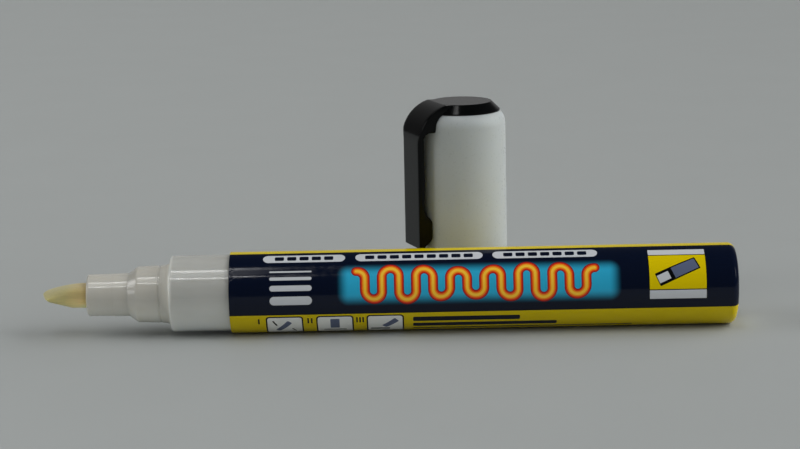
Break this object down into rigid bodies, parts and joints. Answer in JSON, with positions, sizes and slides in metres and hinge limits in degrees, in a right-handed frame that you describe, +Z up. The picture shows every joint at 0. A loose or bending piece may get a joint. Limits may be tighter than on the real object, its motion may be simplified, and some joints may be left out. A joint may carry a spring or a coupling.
{
  "type": "liquid chalk marker",
  "caption": "Round valve-action liquid chalk marker with a chisel fibre nib, printed film sleeve and a pull-off cap with pocket clip, cap standing beside it.",
  "frame": {"origin": "on the table, under the middle of the box round the marker and its cap", "axes": "+X along the marker from nib to tail, +Y from the marker towards the cap behind it, +Z up, the way the cap is lifted"},
  "size_m": [0.1366, 0.039, 0.042],
  "materials": {
    "white_polypropylene": "gloss",
    "printed_film": "gloss",
    "milky_polypropylene": "gloss",
    "nib_fibre": "matte",
    "valve_plastic": "satin",
    "seal_rubber": "matte",
    "spring_steel": "satin",
    "ball_steel": "polished",
    "cap_polypropylene": "satin",
    "liner_polyethylene": "satin",
    "black_plastic": "satin"
  },
  "bodies": {
    "marker": {"barrel": "white_polypropylene", "label_film": "printed_film", "nose": "milky_polypropylene", "valve_seat": "valve_plastic", "valve_cage": "valve_plastic", "valve_spring": "spring_steel"},
    "pump": {"nib": "nib_fibre", "valve_stem": "valve_plastic", "valve_seal": "seal_rubber"},
    "ball": {"mixing_ball": "ball_steel"},
    "cap": {"cap_shell": "cap_polypropylene", "inner_cap": "liner_polyethylene", "cap_clip": "black_plastic"}
  },
  "joints": [
    {"name": "pump_press", "type": "slide", "parent": "marker", "child": "pump", "axis": [1, 0, 0], "range_m": [0, 0.002], "stiffness_N_per_m": 640, "deforming": ["valve_spring"]},
    {"name": "ball_run", "type": "slide", "parent": "marker", "child": "ball", "axis": [1, 0, 0], "range_m": [-0.05688, 0.0187]},
    {"name": "cap_lift", "type": "slide", "parent": "marker", "child": "cap", "axis": [0, 0, 1], "range_m": [0, 0.042]}
  ]
}
